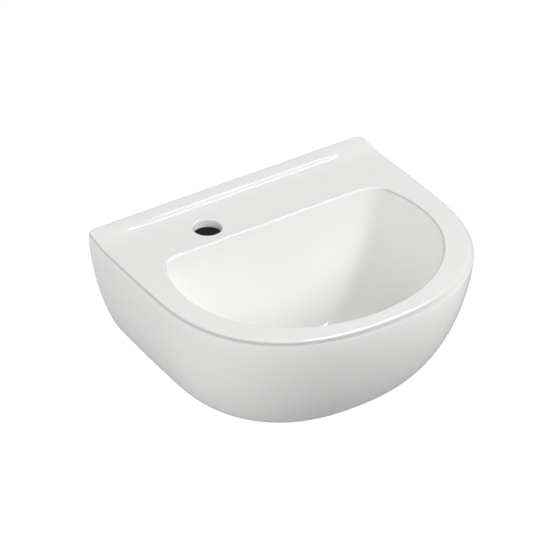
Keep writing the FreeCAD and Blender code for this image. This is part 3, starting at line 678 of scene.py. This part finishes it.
dress(ceramic, makeGlaze())
finishes = {
    "black_coating": cast("black_coating", (0.022, 0.022, 0.023), roughness=0.5, grain=1400.0, depth=0.00006),
    "white_plastic": cast("white_nylon", (0.72, 0.72, 0.69), roughness=0.42, grain=700.0, depth=0.00003),
    "zinc_steel": plated("zinc_steel", (0.66, 0.67, 0.68), tint=(0.58, 0.56, 0.50), roughness=0.34),
    "chrome": machined("chrome", (0.80, 0.80, 0.81), roughness=0.07, pitch=0.00035, depth=0.000002),
    "black_rubber": cast("black_rubber", (0.032, 0.032, 0.033), roughness=0.7, grain=1100.0, depth=0.00005),
    "brass": machined("brass", (0.72, 0.56, 0.28), roughness=0.28, pitch=0.00040, depth=0.00003),
    "core_plastic": cast("core_plastic", (0.76, 0.76, 0.74), roughness=0.26, grain=500.0, depth=0.00002),
    "spring_steel": plated("spring_steel", (0.62, 0.62, 0.62), tint=(0.54, 0.54, 0.55), roughness=0.25),
}
slotOf = {part["node"]: part["material_slot"] for part in frame["record"]["subparts"]}
print("finishes made")


class Weave(Tree):  # one Geometry Nodes tree with named inputs
    def __init__(self, name, **inputs):
        super().__init__(bpy.data.node_groups.new(name, "GeometryNodeTree"))
        for key, kind in {"Geometry": "Geometry", **inputs}.items():
            self.tree.interface.new_socket(key, in_out="INPUT", socket_type="NodeSocket" + kind)
        self.tree.interface.new_socket("Geometry", in_out="OUTPUT", socket_type="NodeSocketGeometry")

    def given(self, name):
        return self.node("NodeGroupInput", out=name)

    def round(self, shape, angle, radius, height):  # moves each point to this angle, radius and height
        place = self.node("ShaderNodeCombineXYZ", {}, [self.maths("COSINE", angle) * radius,
                                                       self.maths("SINE", angle) * radius, height])
        return self.node("GeometryNodeSetPosition", {}, {"Geometry": shape, "Position": place})

    def close(self, shape, material, **placing):  # one copy at every point of the incoming mesh
        copies = self.node("GeometryNodeInstanceOnPoints", {}, {"Points": self.given("Geometry"),
                                                                "Instance": shape, **placing})
        whole = self.node("GeometryNodeRealizeInstances", {}, [copies])
        painted = self.node("GeometryNodeSetMaterial", {}, {"Geometry": whole, "Material": material})
        self.node("NodeGroupOutput", {}, [painted])
        return self.tree


def grown(name, places, tree, sizes):  # what the tree makes at these places, as a plain mesh
    seed = bpy.data.meshes.new(name)
    seed.from_pydata([tuple(place) for place in places], [], [])
    holder = bpy.data.objects.new(name, seed)
    scene.collection.objects.link(holder)
    step = holder.modifiers.new("grow", "NODES")
    step.node_group = tree
    keys = {item.name: item.identifier for item in tree.interface.items_tree if item.in_out == "INPUT"}
    for key, value in sizes.items():
        step[keys[key]] = value
    bpy.context.view_layer.update()
    result = bpy.data.meshes.new_from_object(holder.evaluated_get(bpy.context.evaluated_depsgraph_get()))
    holder.modifiers.clear()
    holder.data = result
    print(name, "faces", len(result.polygons))
    return holder


# Sizes of the threads: crest and root radius, and a last stretch that narrows to a share of the root.
screwThread = {"Crest": 0.0030, "Root": 0.0021, "Pitch": 0.0026, "Length": 0.0554, "Taper": 0.0085,
               "Tip": 0.16, "Around": 32, "Per Turn": 10, "Flat": 0.10}
wallThread = {"Crest": 0.0042, "Root": 0.0031, "Pitch": 0.0034, "Length": 0.0600, "Taper": 0.0100,
              "Tip": 0.20, "Around": 36, "Per Turn": 10, "Flat": 0.08}
nutThread = {"Crest": 0.0040, "Root": 0.0033, "Pitch": 0.00125, "Length": 0.0270, "Taper": 0.0006,
             "Tip": 0.86, "Around": 36, "Per Turn": 7, "Flat": 0.18}
tailThread = {"Crest": 0.020955, "Root": 0.01985, "Pitch": 0.002309, "Length": 0.0130, "Taper": 0.0010,
              "Tip": 0.955, "Around": 120, "Per Turn": 9, "Flat": 0.16}
upperThread = {"Crest": 0.020955, "Root": 0.01985, "Pitch": 0.002309, "Length": 0.0480, "Taper": 0.0004,
               "Tip": 0.97, "Around": 120, "Per Turn": 7, "Flat": 0.16}
wallward, upright = (-math.pi / 2, 0.0, 0.0), (0.0, 0.0, 0.0)


def threadTree(material, ends):  # one threaded tube
    g = Weave("helical_thread", Crest="Float", Root="Float", Pitch="Float", Length="Float", Taper="Float",
              Tip="Float", Around="Int", Rows="Int", Flat="Float", Turn="Vector")
    length, crest, root, pitch, flat = [g.given(key) for key in ("Length", "Crest", "Root", "Pitch", "Flat")]
    tube = g.node("GeometryNodeMeshCylinder", {"fill_type": ends}, {
        "Vertices": g.given("Around"), "Side Segments": g.given("Rows"), "Radius": 1.0, "Depth": length})
    x, y, z = [g.axis(g.node("GeometryNodeInputPosition"), index) for index in range(3)]
    along = z + length * 0.5
    angle = g.maths("ARCTAN2", y, x)
    turns = along / pitch + angle * (1 / (2 * math.pi))
    ridge = g.stretch(g.maths("ABSOLUTE", g.maths("FRACT", turns) * 2 - 1), flat, 1 - flat)
    fade = g.stretch(g.maths("MINIMUM", along, length - along), 0.0, pitch * 0.8)
    narrow = g.stretch(length - along, 0.0, g.given("Taper"), g.given("Tip"), 1.0)
    placed = g.round(tube, angle, (root + (crest - root) * ridge * fade) * narrow, along)
    smooth = g.node("GeometryNodeSetShadeSmooth", {}, {"Geometry": placed})
    return g.close(smooth, material, Rotation=g.given("Turn"))


def threads(name, places, turn, tree, sizes):
    rows = int(sizes["Length"] / sizes["Pitch"] * sizes["Per Turn"])
    inputs = {key: value for key, value in sizes.items() if key != "Per Turn"}
    piece = grown(name, places, tree, {**inputs, "Rows": rows, "Turn": turn})
    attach(piece, "basin")


metal = {"segments": 3, "sharp": 32.0, "flat": 0.8, "weight": 90}


def softened(name, body, bevel, shape=None):  # stands for a CAD node, with its sharp edges rounded
    piece = bpy.data.objects.new(name + "_finished", nodes[name].data.copy())
    scene.collection.objects.link(piece)
    work = bmesh.new()
    work.from_mesh(piece.data)
    bmesh.ops.remove_doubles(work, verts=work.verts, dist=weld)
    if shape:
        for vert in work.verts:
            vert.co = shape(vert.co)
    bmesh.ops.dissolve_limit(work, angle_limit=math.radians(metal["flat"]), verts=work.verts,
                             edges=work.edges)
    work.to_mesh(piece.data)
    work.free()
    piece.data.shade_smooth()
    edge = piece.modifiers.new("edges", "BEVEL")
    edge.width, edge.segments = bevel, metal["segments"]
    edge.limit_method, edge.angle_limit = "ANGLE", math.radians(metal["sharp"])
    even = piece.modifiers.new("normals", "WEIGHTED_NORMAL")
    even.weight = metal["weight"]
    bpy.context.view_layer.update()
    result = bpy.data.meshes.new_from_object(piece.evaluated_get(bpy.context.evaluated_depsgraph_get()))
    piece.modifiers.clear()
    piece.data = result
    dress(piece, finishes[slotOf[name]])
    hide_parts(name)
    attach(piece, body)


def cored(centre, axes, share, first=-1.0, last=1.0, inner=0.0, outer=1.0):  # shrinks a stretch to its core
    third = 3 - sum(axes)

    def shape(place):
        across = [place[axes[0]] - centre[0], place[axes[1]] - centre[1]]
        if first <= place[third] <= last and inner <= math.hypot(*across) <= outer:
            place = place.copy()
            place[axes[0]] = centre[0] + across[0] * share
            place[axes[1]] = centre[1] + across[1] * share
        return place
    return shape


bracket = {"screwX": 0.090, "screwZ": 0.017, "edge": 0.0006, "screwEdge": 0.0004, "washerEdge": 0.0003,
           "wallSide": 0.0001}


def makeBracket():
    softened("hanger_bracket", "basin", bracket["edge"])
    spots = [(sx * bracket["screwX"], sz * bracket["screwZ"]) for sz in (1, -1) for sx in (-1, 1)]
    core = screwThread["Root"] / screwThread["Crest"]
    for index, spot in enumerate(spots, 1):
        softened(f"bracket_screw_{index}", "basin", bracket["screwEdge"],
                 cored(spot, [0, 2], core, bracket["wallSide"]))
        softened(f"bracket_washer_{index}", "basin", bracket["washerEdge"])
    threads("bracket_screw_threads", [(x, 0.0, z) for x, z in sorted(spots)], wallward, solidThread,
            screwThread)


bolts = {"front": -0.028, "core": 0.72,
         "edges": {"bush": 0.0004, "washer": 0.0003, "nut": 0.0007}, "boltEdge": 0.0003}


def makeSecuring():
    spots = {side: (sign * securing["x"], securing["z"]) for side, sign in (("left", -1), ("right", 1))}
    for side, spot in spots.items():
        softened(f"securing_bolt_{side}", "basin", bolts["boltEdge"], cored(spot, [0, 2], bolts["core"]))
        for name, edge in bolts["edges"].items():
            softened(f"securing_{name}_{side}", "basin", edge)
    for name, start, sizes in (("securing_wall_threads", 0.0, wallThread),
                               ("securing_nut_threads", bolts["front"], nutThread)):
        threads(name, [(x, start, z) for x, z in spots.values()], wallward, solidThread, sizes)


waste = {"edge": 0.0005, "core": 0.945, "top": -0.0497, "inner": 0.0195, "outer": 0.0215,
         "tailStart": -0.1165, "upperStart": -0.1015,
         "edges": {"flange_seal": 0.0003, "underside_seal": 0.0005, "slip_washer": 0.0004,
                   "back_nut": 0.0010, "cartridge": 0.0004}}
plug = {"plug_spindle": 0.0003, "plug_seal": 0.0005, "plug_cap": 0.0005}


def makeWaste():
    softened("waste_body", "basin", waste["edge"],
             cored(outletCentre, [0, 1], waste["core"], last=waste["top"], inner=waste["inner"],
                   outer=waste["outer"]))
    for name, start, sizes in (("waste_tail_thread", waste["tailStart"], tailThread),
                               ("waste_upper_thread", waste["upperStart"], upperThread)):
        threads(name, [(*outletCentre, start)], upright, openThread, sizes)
    for name, edge in waste["edges"].items():
        softened(name, "basin", edge)
    for name, edge in plug.items():
        softened(name, "plug", edge)


coil = {"Radius": 0.0043, "Wire": 0.00058, "Height": 0.00775, "Turns": 5.0, "End Turn": 0.16, "Steps": 260}
coilPlace = {"low": -0.08238, "fixed": -0.083, "moving": -0.074, "closed": 0.12, "wirePoints": 14}


def coilTree(material):  # a compression spring with closed ends
    g = Weave("push_coil", **{"Radius": "Float", "Wire": "Float", "Height": "Float", "Turns": "Float",
                              "End Turn": "Float", "Steps": "Int"})
    end, closed = g.given("End Turn"), coilPlace["closed"]
    line = g.node("GeometryNodeCurvePrimitiveLine", {}, {"Start": (0, 0, 0), "End": (0, 0, 1)})
    fine = g.node("GeometryNodeResampleCurve", {}, {"Curve": line, "Count": g.given("Steps")})
    share = g.node("GeometryNodeSplineParameter")
    rise = g.stretch(share, end, 1 - end, closed, 1 - closed) - closed
    level = rise + g.stretch(share, 0.0, end, 0.0, closed) + g.stretch(share, 1 - end, 1.0, 0.0, closed)
    placed = g.round(fine, share * g.given("Turns") * (2 * math.pi), g.given("Radius"),
                     level * g.given("Height"))
    ring = g.node("GeometryNodeCurvePrimitiveCircle", {}, {"Resolution": coilPlace["wirePoints"],
                                                           "Radius": g.given("Wire")})
    wire = g.node("GeometryNodeCurveToMesh", {}, {"Curve": placed, "Profile Curve": ring, "Fill Caps": True})
    return g.close(wire, material)


def makeSpring():
    spring = grown("push_spring_coil", [(*outletCentre, coilPlace["low"])],
                   coilTree(finishes["spring_steel"]), coil)
    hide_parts("push_spring")
    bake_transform(spring)


solidThread = threadTree(finishes["zinc_steel"], "NGON")
openThread = threadTree(finishes["chrome"], "NONE")
makeBracket()
makeSecuring()
makeWaste()
makeSpring()
print("hardware made")

view = {"azimuth": -33.313, "elevation": 33.885, "distance": 5.184, "right": 0.06606, "up": -0.1143,
        "lens": 277.0, "farClip": 30.0}


def direction(azimuth, elevation):  # degrees: azimuth 0 is towards the user, 90 to the user's right
    around, above = math.radians(azimuth), math.radians(elevation)
    return Vector((math.sin(around) * math.cos(above), -math.cos(around) * math.cos(above), math.sin(above)))


def makeCamera():
    toCamera = direction(view["azimuth"], view["elevation"])
    turn = math.radians(view["azimuth"])
    rightward = Vector((math.cos(turn), math.sin(turn), 0.0))
    upward = toCamera.cross(rightward)
    camera = bpy.data.objects.new("camera", bpy.data.cameras.new("camera"))
    place = (Vector((0, 0, basin["rim"])) + toCamera * view["distance"] + rightward * view["right"]
             + upward * view["up"])
    facing = Matrix((rightward, upward, toCamera)).transposed().to_4x4()
    camera.matrix_world = Matrix.Translation(place) @ facing
    camera.data.lens, camera.data.clip_end = view["lens"], view["farClip"]
    scene.collection.objects.link(camera)
    scene.camera = camera


lamps = [  # name, azimuth, elevation, distance, size, power
    ("right_low", 66, 5, 2.4, 1.3, 18.2),
    ("left_level", 270, 7, 2.2, 1.1, 27.5),
    ("front", 0, 42, 2.4, 1.6, 31.6),
    ("behind", 180, 42, 2.4, 1.6, 25.0),
    ("back_left", 240, 62, 2.4, 1.4, 3.2),
    ("right_front", 45, 42, 2.4, 1.4, 19.5),
    ("ledge_glint", 131.7, 52.4, 2.2, 0.15, 19.0),
]
glintLength = 0.60


def makeLamps():
    aim = Vector((0.0, -0.17, 0.0))
    for name, azimuth, elevation, distance, size, watts in lamps:
        toward = direction(azimuth, elevation)
        lamp = bpy.data.objects.new(name, bpy.data.lights.new(name, "AREA"))
        lamp.data.size, lamp.data.energy = size, watts
        if name == "ledge_glint":  # a long low strip that only the gloss shows
            lamp.data.shape, lamp.data.size, lamp.data.size_y = "RECTANGLE", glintLength, size
            lamp.visible_diffuse = False
        else:  # the others only light
            lamp.visible_glossy = False
        lamp.location = aim + toward * distance
        lamp.rotation_euler = toward.to_track_quat("Z", "Y").to_euler()
        scene.collection.objects.link(lamp)


floorLook = {"reach": 14.0, "level": -0.78, "matt": (0.35, 0.35, 0.35), "glow": 0.135, "white": 1.09,
             "whiteShare": 0.9}
worldLook = {"dark": 0.02, "glossy": 0.35, "white": 1.0}


def makeFloor():
    shape = bpy.data.meshes.new("floor")
    reach, level = floorLook["reach"], floorLook["level"]
    shape.from_pydata([(-reach, -reach, level), (reach, -reach, level), (reach, reach, level),
                       (-reach, reach, level)], [], [(0, 1, 2, 3)])
    floor = bpy.data.objects.new("floor", shape)
    scene.collection.objects.link(floor)
    m = Finish("pale_floor")
    seen = m.node("ShaderNodeLightPath", out="Is Camera Ray")
    white, glow = [m.node("ShaderNodeEmission", {}, {"Color": (1, 1, 1, 1), "Strength": floorLook[key]})
                   for key in ("white", "glow")]
    matt = m.node("ShaderNodeBsdfDiffuse", {}, {"Color": shaded(floorLook["matt"])})
    lit = m.node("ShaderNodeAddShader", {}, [matt, glow])
    m.finish(m.node("ShaderNodeMixShader", {}, {0: seen * floorLook["whiteShare"], 1: lit, 2: white}))
    dress(floor, m.material)


def makeWorld():
    scene.world = bpy.data.worlds.new("studio")
    scene.world.use_nodes = True
    m = Tree(scene.world.node_tree)
    m.tree.nodes.clear()
    seen, glossy = [m.node("ShaderNodeLightPath", out=ray) for ray in ("Is Camera Ray", "Is Glossy Ray")]
    dark, soft, white = [m.node("ShaderNodeBackground", {}, {"Color": (1, 1, 1, 1), "Strength": strength})
                         for strength in worldLook.values()]
    unseen = m.node("ShaderNodeMixShader", {}, {0: glossy, 1: dark, 2: soft})
    both = m.node("ShaderNodeMixShader", {}, {0: seen, 1: unseen, 2: white})
    m.node("ShaderNodeOutputWorld", {}, {"Surface": both})


makeCamera()
makeLamps()
makeFloor()
makeWorld()
scene.view_settings.view_transform = "Standard"
print("camera, lamps and floor set")
